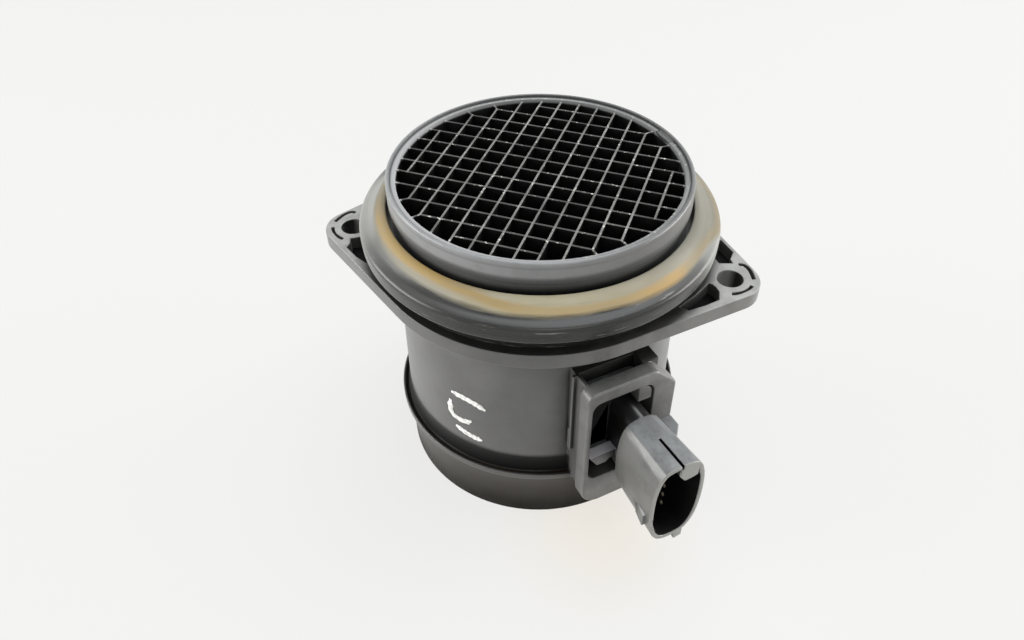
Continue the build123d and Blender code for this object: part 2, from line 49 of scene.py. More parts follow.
# ---- Duct: heights and radii of its forms, as in the CAD ----
SPIGOT_RADIUS = 42.5 * MM
BEAD_TOP_Z = 21.5 * MM
BODY_FOOT_Z = 27.1 * MM
BODY_FOOT_RADIUS = 42.3 * MM
BODY_HEAD_RADIUS = 41.8 * MM
FLANGE_UNDER_Z = 71.3 * MM
POCKET_FLOOR_Z = 72.3 * MM
FLANGE_TOP_Z = 76.0 * MM
RIM_UNDER_Z = 94.0 * MM
RIM_LIP_Z = 99.1 * MM
RING_TOP_Z = 99.8 * MM
RING_INNER_RADIUS = 39.9 * MM
RING_OUTER_RADIUS = 41.2 * MM

# ---- Ears: the line through their holes, as in the CAD ----
EAR_LINE_TURN = math.radians(50.0)
EAR_REACH = 55.6 * MM
EAR_OFFSET = -6.1 * MM
EAR_HOLE_RADIUS = 3.65 * MM

# ---- Flow straightener's grid, as in the CAD ----
GRID_TURN = math.radians(44.04)
GRID_PITCH = 5.8 * MM
GRID_TOP_Z = 99.2 * MM

# ---- Boss's front plate: its front face, its window and the rounding of its outside edge ----
PLATE_FRONT_X = 52.2 * MM
WINDOW_LOW = (-11.6 * MM, 27.5 * MM)
WINDOW_HIGH = (8.6 * MM, 60.4 * MM)
PLATE_ROUND = 0.8 * MM
PLATE_REACH = 0.05 * MM
PLATE_SHARP_TURN = 0.6

# ---- Sensor's base, latch and lug, which show through the window ----
BASE_FRONT_X = 46.3 * MM
LATCH_TOP_Z = 37.2 * MM
LATCH_RIGHT_Y = -1.6 * MM
LUG_UNDER_Z = 54.0 * MM

# ---- Plug's socket: its axis, its depth and half its inside width and height ----
SOCKET_AXIS = (1.2 * MM, 40.0 * MM)
SOCKET_FLOOR_X = 60.0 * MM
SOCKET_MOUTH_X = 76.4 * MM
SOCKET_HALF = (7.6 * MM, 14.4 * MM)
SOCKET_MARGIN = 0.5 * MM
SOCKET_RIM = 0.2 * MM

# ---- Plug's outline: half its width and height at both ends, and its corners as shares of them ----
PLUG_ROOT_X = 57.0 * MM
PLUG_ROOT_MARGIN = 0.02 * MM
PLUG_ROOT_HALF = (6.8 * MM, 13.8 * MM)
PLUG_MOUTH_HALF = (8.1 * MM, 15.0 * MM)
PLUG_SHARES = [(0.50, -1.0), (0.90, -0.62), (1.0, -0.10), (0.98, 0.42), (0.84, 0.78), (0.55, 1.0)]
PLUG_CORNER = 2.0 * MM
PLUG_CUTS = 24
PLUG_FIRST_CUT = 0.37
PLUG_CUT_REACH = 0.30 * MM
PLUG_SWELL = 1.03
PLUG_WALL = 1.9 * MM
PLUG_LEAD_IN = 0.6 * MM
PLUG_STILL_SHARE = 0.55
PLUG_WALL_SHARE = 0.75
INNER_FACE_SHARES = (0.70, 0.93)
RAIL_TURNS = (math.radians(52.0), math.radians(104.0))
DIMPLE = (69.3 * MM, -6.9 * MM, 34.8 * MM)

# ---- Edge rounding of the mouldings ----
HOUSING_ROUND = 0.30 * MM
SENSOR_ROUND = 0.25 * MM
ROUNDED_TURN = math.radians(38.0)
SPIKE_SHARE = 0.6
MERGE = 0.001 * MM
FLAT_TURN = math.radians(0.3)

# ---- Inlet seal: its section from the inside of its foot, as radius and height in millimetres ----
SEAL_PROFILE = [
    (41.70, 76.05), (43.40, 76.05), (45.60, 76.05), (46.05, 76.30), (46.05, 78.60), (46.10, 81.20),
    (46.80, 81.65), (48.60, 81.70), (50.20, 82.00), (50.85, 82.50), (51.00, 83.60), (51.10, 85.20),
    (51.10, 86.40), (50.75, 87.20), (49.90, 87.70), (48.90, 88.10), (48.10, 88.60), (46.60, 89.80),
    (45.00, 91.10), (44.00, 91.55), (43.40, 91.60), (43.25, 91.30), (43.60, 90.70), (45.20, 89.20),
    (46.30, 87.80), (45.80, 86.00), (44.20, 85.00), (43.00, 84.30), (41.90, 84.20), (41.70, 83.60),
]
SEAL_AROUND = 256
SEAL_SMOOTH = 6
SEAL_WAVE = 0.02 * MM
WELD = 0.005 * MM

# ---- Tan film on the seal's lip: its lower edge, with the side where it hangs lowest ----
FILM_SIDE = math.radians(20.0)
FILM_EDGE_Z = 89.2 * MM
FILM_EDGE_SWING = 0.8 * MM
FILM_DROOP = 2.2 * MM
FILM_WANDER = 1.6 * MM
FILM_SOFT_EDGE = 0.35 * MM
FILM_WIDTH = 2.8 * MM

# ---- Paint mark: angle round the duct in degrees and height in millimetres of each stroke ----
PAINT_STROKES = [
    [(-64.2, 46.4), (-58.0, 46.3), (-52.6, 45.5), (-48.6, 44.2)],
    [(-65.0, 42.8), (-65.4, 39.5), (-64.6, 37.0), (-61.6, 35.9), (-57.8, 36.2), (-55.0, 37.4)],
    [(-63.0, 32.3), (-58.6, 31.2), (-54.2, 30.6), (-50.6, 30.3)],
]
PAINT_SMOOTH = 10
PAINT_WIDTH = 2.1 * MM
PAINT_LIFT = 0.12 * MM
PAINT_SHARES = (-1.0, -0.75, -0.3, 0.3, 0.75, 1.0)
PAINT_LIFTS = (0.0, 1.0, 1.25, 1.25, 1.0, 0.0)

# ---- Stage ----
FLOOR_HALF = 3.0
# Centre of the painted warm glow on the floor by the plug.
WARM_SPOT = (52.0 * MM, -5.0 * MM, 0.0)
LIGHT_AIM = (0.0, 0.0, 0.05)

# ---- Colours ----
# Near-black for painted shade: recesses, pockets, gaps and the undersides of overhangs.
PAINTED_SHADE = (0.004, 0.004, 0.004)
BLACK = (0.0, 0.0, 0.0)
WHITE = (1.0, 1.0, 1.0)
SEAM_SHADE = (0.02, 0.02, 0.02)


# ---- Nodes ----

def add_node(tree, kind, inputs=None, **settings):
    """A node with its settings, its input values and the links into it."""
    node = tree.nodes.new(kind)
    for name, value in settings.items():
        setattr(node, name, value)
    for name, value in (inputs or {}).items():
        if isinstance(value, bpy.types.NodeSocket):
            tree.links.new(value, node.inputs[name])
        else:
            node.inputs[name].default_value = value
    return node


def math_node(tree, operation, *values):
    """One arithmetic step, which gives its result's socket."""
    node = add_node(tree, "ShaderNodeMath", dict(enumerate(values)), operation=operation)
    return node.outputs[0]


def times(tree, product, *others):
    """The product of several values."""
    for other in others:
        product = math_node(tree, "MULTIPLY", product, other)
    return product


def plus(tree, total, *others):
    """The sum of several values."""
    for other in others:
        total = math_node(tree, "ADD", total, other)
    return total


def minus(tree, first, second):
    """The difference of two values."""
    return math_node(tree, "SUBTRACT", first, second)


def gap_between(tree, first, second):
    """How far two values are apart."""
    return math_node(tree, "ABSOLUTE", minus(tree, first, second))


def rise(tree, value, low, high, to_low=0.0, to_high=1.0):
    """A value stretched from one range to another, or to 0 to 1, and kept within it."""
    node = add_node(
        tree,
        "ShaderNodeMapRange",
        {"Value": value, "From Min": low, "From Max": high, "To Min": to_low, "To Max": to_high},
        clamp=True,
    )
    return node.outputs["Result"]


def fall(tree, value, low, high, from_top=1.0):
    """A value that falls to 0 over a range."""
    return rise(tree, value, low, high, from_top, 0.0)


def noise(tree, place, scale, detail=2.0, rough=0.5):
    """Cloudy noise with a number of cycles to the metre."""
    node = add_node(
        tree,
        "ShaderNodeTexNoise",
        {"Vector": place, "Scale": scale, "Detail": detail, "Roughness": rough},
    )
    return node.outputs["Fac"]


def flat_noise(tree, place, around, up, detail, rough=0.6):
    """Noise drawn out round the duct, with its cycles to the metre across and up."""
    scale = (around, around, up)
    stretched = add_node(tree, "ShaderNodeMapping", {"Vector": place, "Scale": scale}).outputs["Vector"]
    return noise(tree, stretched, 1.0, detail, rough)


def blend(tree, share, first, second, kind="MIX"):
    """A colour between two others, or their product with the kind MULTIPLY."""
    node = add_node(tree, "ShaderNodeMix", data_type="RGBA", blend_type=kind)
    for socket, value in ((node.inputs[0], share), (node.inputs[6], first), (node.inputs[7], second)):
        if isinstance(value, bpy.types.NodeSocket):
            tree.links.new(value, socket)
        else:
            socket.default_value = value if isinstance(value, float) else (*value, 1.0)
    return node.outputs[2]


def separate(tree, place):
    """The X, Y and Z of a place."""
    return add_node(tree, "ShaderNodeSeparateXYZ", {0: place}).outputs


def distance(tree, place, centre):
    """How far a place is from a centre."""
    node = add_node(tree, "ShaderNodeVectorMath", {0: place, 1: centre}, operation="DISTANCE")
    return node.outputs["Value"]


def length(tree, place):
    """How far a place is from the origin."""
    return add_node(tree, "ShaderNodeVectorMath", {0: place}, operation="LENGTH").outputs["Value"]


def turn_share(tree, turn, stops):
    """A value from 0 to 1 that follows the angle round the duct, given at stops in degrees."""
    whole = rise(tree, turn, -math.pi, math.pi)
    node = add_node(tree, "ShaderNodeFloatCurve", {"Value": whole})
    curve = node.mapping.curves[0]
    while len(curve.points) < len(stops):
        curve.points.new(0.5, 0.5)
    for point, (degrees, value) in zip(curve.points, stops):
        point.location = ((degrees + 180.0) / 360.0, value)
        point.handle_type = "AUTO_CLAMPED"
    node.mapping.update()
    return node.outputs[0]


def duct_coordinates(tree, place):
    """The angle round the duct's axis, the distance from it and the height."""
    parts = separate(tree, place)
    turn = math_node(tree, "ARCTAN2", parts["Y"], parts["X"])
    across = add_node(tree, "ShaderNodeCombineXYZ", {"X": parts["X"], "Y": parts["Y"]}).outputs[0]
    return turn, length(tree, across), parts["Z"]


def bump(tree, height, strength, depth, normal=None):
    """A bump from a height, with its depth in metres at full strength."""
    inputs = {"Height": height, "Strength": strength, "Distance": depth}
    if normal is not None:
        inputs["Normal"] = normal
    return add_node(tree, "ShaderNodeBump", inputs).outputs[0]


def upward(tree):
    """How far a face looks up, from 0 to 1."""
    normal = add_node(tree, "ShaderNodeTexCoord").outputs["Normal"]
    return rise(tree, separate(tree, normal)["Z"], 0.55, 0.95)


def edge_share(tree, radius):
    """Where the surface turns over an edge, from 0 on a flat to 1 on the edge, with the rounded normal."""
    rounded = add_node(tree, "ShaderNodeBevel", {"Radius": radius}, samples=6).outputs[0]
    true_normal = add_node(tree, "ShaderNodeNewGeometry").outputs["True Normal"]
    dot = add_node(tree, "ShaderNodeVectorMath", {0: rounded, 1: true_normal}, operation="DOT_PRODUCT")
    return rise(tree, dot.outputs["Value"], 0.995, 0.80), rounded


def openness(tree, reach, low, high):
    """How open a spot is, from 0 deep in a recess to 1 on an open face."""
    open_air = add_node(tree, "ShaderNodeAmbientOcclusion", {"Distance": reach}, samples=8).outputs["AO"]
    return rise(tree, open_air, low, high)


class Finish:
    """A material while it is made: its tree, its coordinates, its shader and its colour so far."""

    def __init__(self, name, specular=None):
        self.material = bpy.data.materials.new(name)
        self.material.use_nodes = True
        self.tree = self.material.node_tree
        self.tree.nodes.clear()
        self.place = add_node(self.tree, "ShaderNodeTexCoord").outputs["Object"]
        self.shader = add_node(self.tree, "ShaderNodeBsdfPrincipled")
        output = add_node(self.tree, "ShaderNodeOutputMaterial")
        self.tree.links.new(self.shader.outputs[0], output.inputs["Surface"])
        self.colour = None
        if specular is not None:
            self.fix("Specular IOR Level", specular)

    def cover(self, colour, *shares):
        """Lays a colour over the colour so far, as strongly as the product of the shares."""
        self.colour = blend(self.tree, times(self.tree, *shares), self.colour, colour)

    def feed(self, name, socket):
        """Links a pattern to one of the shader's inputs."""
        self.tree.links.new(socket, self.shader.inputs[name])

    def fix(self, name, value):
        """Gives one of the shader's inputs an even value."""
        self.shader.inputs[name].default_value = value

    def done(self):
        """The finished material, with its colour linked."""
        self.feed("Base Color", self.colour)
        return self.material


# ---- Materials ----

def moulded_plastic(name, colour, dust_and_sky_light, worn, recess=(9.0 * MM, 0.35, 0.80), shine=0.50):
    """Satin moulded plastic: a faint grain, cloudy colour, dusty tops with painted sky light, paler worn
    edges and painted shade in recesses.

    The recess says how far walls shade each other and between which shares of open air the painted shade
    fades.
    """
    finish = Finish(name, shine)
    tree, place = finish.tree, finish.place
    clouds = noise(tree, place, 38.0, 3.0, 0.6)
    fine = noise(tree, place, 2400.0, 2.0)
    flow = flat_noise(tree, place, 30.0, 260.0, 3.0, 0.5)
    darker = tuple(0.82 * c for c in colour)
    lighter = tuple(1.16 * c for c in colour)
    finish.colour = blend(tree, rise(tree, clouds, 0.32, 0.68), darker, lighter)
    finish.cover(lighter, rise(tree, flow, 0.45, 0.75, 0.0, 0.25))
    # Dust and painted sky light: upward faces take the top colour, in specks and patches.
    specks = rise(tree, noise(tree, place, 620.0, 3.0, 0.7), 0.62, 0.74, 0.0, 0.5)
    patchy = rise(tree, clouds, 0.35, 0.70, 0.35, 1.0)
    finish.cover(dust_and_sky_light, upward(tree), patchy, plus(tree, specks, 0.55), 0.22)
    edge, rounded = edge_share(tree, 0.35 * MM)
    finish.cover(worn, edge, rise(tree, fine, 0.3, 0.6, 0.35, 1.0), 0.40)
    open_share = openness(tree, *recess)
    # Painted shade: the colour goes to near-black deep in recesses, where walls shade each other.
    finish.colour = blend(tree, open_share, PAINTED_SHADE, finish.colour)
    satin = rise(tree, clouds, 0.3, 0.7, 0.28, 0.40)
    finish.feed("Roughness", plus(tree, satin, fall(tree, open_share, 0.0, 1.0, 0.35)))
    # Painted shade in reflections too: their tint goes black deep in recesses.
    finish.feed("Specular Tint", blend(tree, open_share, BLACK, WHITE))
    finish.feed("Normal", bump(tree, fine, 0.35, 0.03 * MM, rounded))
    return finish


def film_rise(tree, turn, height, streaks):
    """How far a spot stands above the film's wandering lower edge."""
    swing = math_node(tree, "COSINE", minus(tree, turn, FILM_SIDE))
    edge_z = minus(tree, FILM_EDGE_Z, times(tree, swing, FILM_EDGE_SWING))
    drooping = turn_share(tree, turn, [
        (-180, 0.0), (25, 0.0), (45, 0.45), (62, 1.0), (85, 0.35), (110, 0.0), (180, 0.0),
    ])
    edge_z = minus(tree, edge_z, times(tree, drooping, FILM_DROOP))
    wander = times(tree, minus(tree, streaks, 0.5), FILM_WANDER)
    return plus(tree, minus(tree, height, edge_z), wander)


def film_colour(tree, turn, raised, clouds, scratches_and_glints):
    """The film's colour: cream to grey round the lip, with an ochre band that moves across it."""
    across = rise(tree, raised, 0.0, FILM_WIDTH)
    film = blend(tree, rise(tree, clouds, 0.40, 0.60), (0.26, 0.228, 0.150), (0.31, 0.29, 0.225))
    creamy = turn_share(tree, turn, [(-180, 0.2), (-60, 0.0), (-26, 0.7), (0, 0.2), (180, 0.2)])
    film = blend(tree, creamy, film, (0.37, 0.34, 0.235))
    dulled = turn_share(tree, turn, [
        (-180, 0.75), (-120, 0.88), (-95, 0.74), (-76, 0.48), (-60, 0.22), (-30, 0.0), (20, 0.58),
        (60, 0.82), (180, 0.75),
    ])
    film = blend(tree, dulled, film, (0.13, 0.13, 0.115))
    band_middle = turn_share(tree, turn, [
        (-180, 0.4), (-110, 0.42), (-85, 0.62), (-62, 0.78), (-42, 0.50), (-24, 0.28), (10, 0.20),
        (50, 0.18), (180, 0.4),
    ])
    band = fall(tree, gap_between(tree, across, band_middle), 0.18, 0.48)
    band_part = turn_share(tree, turn, [
        (-180, 0.2), (-130, 0.2), (-112, 0.45), (-82, 1.0), (-48, 0.90), (-25, 0.85), (0, 0.8),
        (14, 1.0), (30, 0.40), (180, 0.2),
    ])
    patchy = rise(tree, clouds, 0.3, 0.6, 0.6, 1.0)
    orange = turn_share(tree, turn, [
        (-180, 0.0), (-90, 0.0), (-10, 0.0), (8, 0.55), (17, 0.6), (28, 0.0), (180, 0.0),
    ])
    ochre = blend(tree, orange, (0.285, 0.195, 0.065), (0.37, 0.215, 0.045))
    film = blend(tree, times(tree, band, band_part, patchy), film, ochre)
    return blend(tree, rise(tree, scratches_and_glints, 0.50, 0.70, 0.0, 0.35), film, (0.20, 0.19, 0.16))


def seal_rubber_material():
    """Dark smooth rubber with a painted silvery sheen on its left and right sides, painted glints in streaks,
    and a tan film on its lip.
    """
    finish = Finish("seal_rubber_with_film", 0.38)
    tree, place = finish.tree, finish.place
    turn, _, height = duct_coordinates(tree, place)
    clouds = noise(tree, place, 34.0, 3.0, 0.6)
    streaks = flat_noise(tree, place, 26.0, 520.0, 4.0)
    scratches_and_glints = flat_noise(tree, place, 70.0, 1300.0, 3.0)
    fine = noise(tree, place, 1500.0, 2.0)
    streak_part = rise(tree, streaks, 0.35, 0.68)
    finish.colour = blend(tree, streak_part, (0.006, 0.006, 0.006), (0.024, 0.024, 0.023))
    # Painted sheen: the rubber turns silvery grey on its left and right sides, where the side lamps graze it.
    painted_side_sheen = turn_share(tree, turn, [
        (-180, 0.12), (-142, 0.20), (-122, 1.0), (-106, 0.85), (-90, 0.30), (-60, 0.05), (-26, 0.0),
        (8, 0.03), (30, 0.35), (50, 1.0), (72, 0.85), (95, 0.20), (180, 0.12),
    ])
    sheen_share = times(tree, painted_side_sheen, rise(tree, streaks, 0.30, 0.62, 0.80, 1.0))
    finish.cover((0.26, 0.262, 0.245), sheen_share)
    # Painted glints: thin pale streaks on the rubber. The same noise gives the film its darker scratches.
    finish.cover((0.26, 0.26, 0.25), rise(tree, scratches_and_glints, 0.63, 0.70, 0.0, 0.45))
    raised = film_rise(tree, turn, height, streaks)
    filmed = rise(tree, raised, -FILM_SOFT_EDGE, FILM_SOFT_EDGE)
    finish.cover(film_colour(tree, turn, raised, clouds, scratches_and_glints), filmed)
    gloss = rise(tree, streaks, 0.35, 0.65, 0.16, 0.34)
    finish.feed("Roughness", plus(tree, gloss, times(tree, sheen_share, 0.40), times(tree, filmed, 0.25)))
    finish.feed("Normal", bump(tree, plus(tree, streaks, times(tree, fine, 0.15)), 0.25, 0.07 * MM))
    finish.fix("Sheen Weight", 0.30)
    finish.fix("Sheen Roughness", 0.22)
    return finish.done()


def spigot_painted_reflection_and_shade(finish, turn, level, height):
    """Paints a brown reflection on the spigot, weaker on its left, and painted shade at its foot. The level
    is the height with a smear.
    """
    tree = finish.tree
    # Painted reflection: a brown tone on the spigot, strongest low down.
    brown = rise(tree, level, 12.0 * MM, BEAD_TOP_Z - 0.5 * MM, 0.80, 0.35)
    under_bead = fall(tree, height, BEAD_TOP_Z - 0.5 * MM, BEAD_TOP_Z + 0.1 * MM)
    side = turn_share(tree, turn, [(-180, 0.6), (-110, 0.3), (-50, 1.0), (60, 1.0), (180, 0.6)])
    finish.cover((0.028, 0.019, 0.008), brown, under_bead, side)
    # Painted shade: the foot goes near-black towards the floor.
    foot = fall(tree, level, 4.0 * MM, 20.0 * MM, 0.97)
    finish.cover((0.006, 0.004, 0.002), foot)
    return foot


def rim_painted_light_and_shade(finish, turn, radius, level, height):
    """Paints light on the upper part of the rim and shade on its lower part, each stronger on one side, and
    draws the seam round the ring.
    """
    tree = finish.tree
    # Painted light: a pale band on the rim's upper side, faint on its right.
    pale = rise(tree, level, RIM_UNDER_Z + 1.0 * MM, RIM_UNDER_Z + 3.2 * MM, 0.05, 1.0)
    lip_shade = rise(tree, gap_between(tree, height, RIM_LIP_Z), 0.15 * MM, 0.55 * MM, 0.62, 1.0)
    side = turn_share(tree, turn, [
        (-180, 0.5), (-120, 0.62), (-26, 0.54), (10, 0.12), (60, 0.05), (180, 0.5),
    ])
    on_rim = rise(tree, height, RIM_UNDER_Z - 4.0 * MM, RIM_UNDER_Z)
    finish.cover((0.27, 0.28, 0.285), pale, lip_shade, side, on_rim)
    # Painted shade: the lower part of the rim's side darkens, most towards the front.
    low = fall(tree, level, RIM_UNDER_Z + 1.9 * MM, RIM_UNDER_Z + 3.0 * MM)
    over_neck = rise(tree, height, RIM_UNDER_Z - 0.5 * MM, RIM_UNDER_Z - 0.1 * MM)
    low_side = turn_share(tree, turn, [(-180, 0.3), (-120, 0.2), (-70, 0.7), (40, 0.75), (180, 0.3)])
    finish.cover((0.022, 0.024, 0.028), low, over_neck, low_side)
    seam = fall(tree, radius, RING_OUTER_RADIUS + 0.35 * MM, RING_OUTER_RADIUS + 0.60 * MM, 0.45)
    finish.cover(SEAM_SHADE, seam, rise(tree, height, RING_TOP_Z - 0.8 * MM, RING_TOP_Z - 0.3 * MM))


def pale_plate_and_dirty_boss(finish, smear):
    """Makes the boss's front plate paler and flecks the plastic with dirt, most of all on the boss."""
    tree, place = finish.tree, finish.place
    outward = separate(tree, place)["X"]
    on_plate = rise(tree, outward, PLATE_FRONT_X - 6.2 * MM, PLATE_FRONT_X - 2.2 * MM)
    finish.cover((0.18, 0.178, 0.172), on_plate, rise(tree, smear, 0.3, 0.6, 0.08, 0.36))
    dirt = rise(tree, noise(tree, place, 130.0, 5.0, 0.7), 0.46, 0.62, 0.0, 0.42)
    on_boss = rise(tree, outward, PLATE_FRONT_X - 9.2 * MM, PLATE_FRONT_X - 5.2 * MM, 0.35, 1.0)
    finish.cover((0.035, 0.034, 0.032), dirt, on_boss)


def side_painted_light(finish, turn, height):
    """Painted light: pales one side of the body, between its foot and the flange, where the right-hand lamp
    falls.
    """
    tree = finish.tree
    side = turn_share(tree, turn, [
        (-180, 0.0), (38, 0.0), (58, 0.32), (76, 0.32), (100, 0.0), (180, 0.0),
    ])
    over_foot = rise(tree, height, BODY_FOOT_Z - 3.1 * MM, BODY_FOOT_Z + 2.9 * MM)
    under_flange = fall(tree, height, FLANGE_UNDER_Z - 7.3 * MM, FLANGE_UNDER_Z - 0.3 * MM)
    finish.cover((0.21, 0.21, 0.20), side, over_foot, under_flange)


def ear_holes():
    """The centres of the two ear holes in plan, on a line that passes beside the axis."""
    along = Vector((math.cos(EAR_LINE_TURN), math.sin(EAR_LINE_TURN), 0.0))
    across = Vector((-along.y, along.x, 0.0))
    return [along * reach + across * EAR_OFFSET for reach in (EAR_REACH, -EAR_REACH)]


def ear_dust_with_painted_light_and_shade(finish, radius, height):
    """Dusts the tops of the ears, paints shade into their pockets, and paints each hole's wall paler,
    near-black on its outer half.
    """
    tree, place = finish.tree, finish.place
    up = upward(tree)
    on_ear = rise(tree, radius, 50.0 * MM, 52.5 * MM)
    on_top = rise(tree, height, FLANGE_TOP_Z - 0.7 * MM, FLANGE_TOP_Z - 0.3 * MM)
    pale_top_share = rise(tree, noise(tree, place, 240.0, 4.0, 0.6), 0.30, 0.60, 0.45, 0.90)
    finish.cover((0.30, 0.30, 0.29), up, on_ear, on_top, pale_top_share)
    # Painted shade in the pockets of the ears.
    over_floor = rise(tree, height, POCKET_FLOOR_Z - 0.3 * MM, POCKET_FLOOR_Z - 0.2 * MM)
    under_top = fall(tree, height, FLANGE_TOP_Z - 1.0 * MM, FLANGE_TOP_Z - 0.6 * MM)
    finish.cover(PAINTED_SHADE, over_floor, under_top, up, rise(tree, radius, 44.0 * MM, 45.0 * MM))
    in_plan = add_node(tree, "ShaderNodeVectorMath", {0: place, 1: (1.0, 1.0, 0.0)}, operation="MULTIPLY")
    outer_half = rise(tree, radius, EAR_REACH, EAR_REACH + 1.8 * MM, 0.0, 1.3)
    for centre in ear_holes():
        from_centre = distance(tree, in_plan.outputs[0], centre)
        # Painted light and shade in each hole: the wall is paler, and near-black on its outer half.
        in_hole = fall(tree, from_centre, EAR_HOLE_RADIUS + 0.05 * MM, EAR_HOLE_RADIUS + 0.15 * MM, 0.75)
        finish.cover((0.17, 0.17, 0.165), in_hole)
        finish.cover((0.006, 0.006, 0.006), in_hole, outer_half)


def housing_material():
    """The duct's plastic, with a painted brown reflection and painted shade on its spigot and a painted
    shadow in the band above its bead.
    """
    finish = moulded_plastic(
        "housing_plastic", (0.088, 0.088, 0.086), (0.30, 0.32, 0.35), (0.24, 0.23, 0.21),
        (15.0 * MM, 0.38, 0.88),
    )
    tree, place = finish.tree, finish.place
    turn, radius, height = duct_coordinates(tree, place)
    smear = noise(tree, place, 60.0, 3.0, 0.6)
    level = plus(tree, height, times(tree, smear, 1.2 * MM))
    foot = spigot_painted_reflection_and_shade(finish, turn, level, height)
    rim_painted_light_and_shade(finish, turn, radius, level, height)
    pale_plate_and_dirty_boss(finish, smear)
    on_ear_side = rise(tree, radius, 49.0 * MM, 53.0 * MM)
    over_underside = rise(tree, height, FLANGE_UNDER_Z - 0.5 * MM, FLANGE_UNDER_Z + 0.1 * MM, 0.0, 0.20)
    finish.cover((0.25, 0.25, 0.235), on_ear_side, over_underside)
    side_painted_light(finish, turn, height)
    ear_dust_with_painted_light_and_shade(finish, radius, height)
    # Painted shadow: the band between the bead and the body's foot goes near-black.
    over_bead = rise(tree, level, BEAD_TOP_Z + 0.5 * MM, BEAD_TOP_Z + 0.9 * MM)
    under_body = fall(tree, level, BODY_FOOT_Z + 0.3 * MM, BODY_FOOT_Z + 1.9 * MM)
    inside_bead = fall(tree, radius, SPIGOT_RADIUS + 0.8 * MM, SPIGOT_RADIUS + 1.0 * MM)
    painted_band_shadow = times(tree, over_bead, under_body, inside_bead)
    finish.cover(PAINTED_SHADE, painted_band_shadow)
    # Painted shade in reflections on that band and at the spigot's foot: their tint goes black there.
    shade_in_reflections = blend(tree, math_node(tree, "MAXIMUM", painted_band_shadow, foot), WHITE, BLACK)
    tint = finish.shader.inputs["Specular Tint"].links[0].from_socket
    finish.feed("Specular Tint", blend(tree, 1.0, tint, shade_in_reflections, "MULTIPLY"))
    finish.fix("Sheen Weight", 0.13)
    finish.fix("Sheen Roughness", 0.40)
    return finish.done()


def sensor_material():
    """The plug-in sensor's paler plastic, with painted shade where it stands inside the boss."""
    finish = moulded_plastic(
        "sensor_plastic", (0.100, 0.100, 0.096), (0.30, 0.33, 0.36), (0.26, 0.26, 0.25),
        (8.0 * MM, 0.22, 0.60),
    )
    tree, place = finish.tree, finish.place
    parts = separate(tree, place)
    smear = noise(tree, place, 220.0, 3.0, 0.6)
    reach = plus(tree, parts["X"], times(tree, smear, 1.2 * MM))
    inside = fall(tree, reach, PLUG_ROOT_X - 0.4 * MM, PLUG_ROOT_X + 0.8 * MM)
    latch = times(
        tree,
        fall(tree, parts["Z"], LATCH_TOP_Z, LATCH_TOP_Z + 0.2 * MM),
        fall(tree, parts["Y"], LATCH_RIGHT_Y, LATCH_RIGHT_Y + 0.4 * MM),
    )
    lug = rise(tree, parts["Z"], LUG_UNDER_Z - 0.6 * MM, LUG_UNDER_Z - 0.3 * MM)
    kept_out_of_shade = math_node(tree, "MAXIMUM", latch, lug)
    # Dust and painted sky light: upward faces take a pale bluish colour in patches.
    pale_top_share = rise(tree, noise(tree, place, 150.0, 3.0, 0.6), 0.30, 0.65, 0.35, 0.85)
    finish.cover((0.185, 0.195, 0.20), upward(tree), pale_top_share)
    dirt = rise(tree, noise(tree, place, 170.0, 5.0, 0.7), 0.46, 0.62, 0.0, 0.45)
    finish.cover((0.045, 0.045, 0.042), dirt)
    # Painted light: the front rim of the plug's mouth is paler.
    at_mouth = rise(tree, parts["X"], SOCKET_MOUTH_X - 0.4 * MM, SOCKET_MOUTH_X - 0.1 * MM, 0.0, 0.7)
    finish.cover((0.25, 0.25, 0.235), at_mouth)
    # Painted light: the latch's upward face, past the base, is pale and bluish as if lit from above.
    past_base = rise(tree, parts["X"], BASE_FRONT_X + 0.7 * MM, BASE_FRONT_X + 1.7 * MM)
    finish.cover((0.36, 0.36, 0.375), latch, upward(tree), past_base)
    # Painted shade in the dimple beside the plug's wedge.
    finish.cover(PAINTED_SHADE, fall(tree, distance(tree, place, DIMPLE), 0.8 * MM, 2.6 * MM, 0.85))
    # Painted shade: the sensor goes near-black inside the boss's window, but not on the latch or the lug.
    finish.cover(PAINTED_SHADE, inside, minus(tree, 1.0, kept_out_of_shade), 0.97)
    return finish.done()


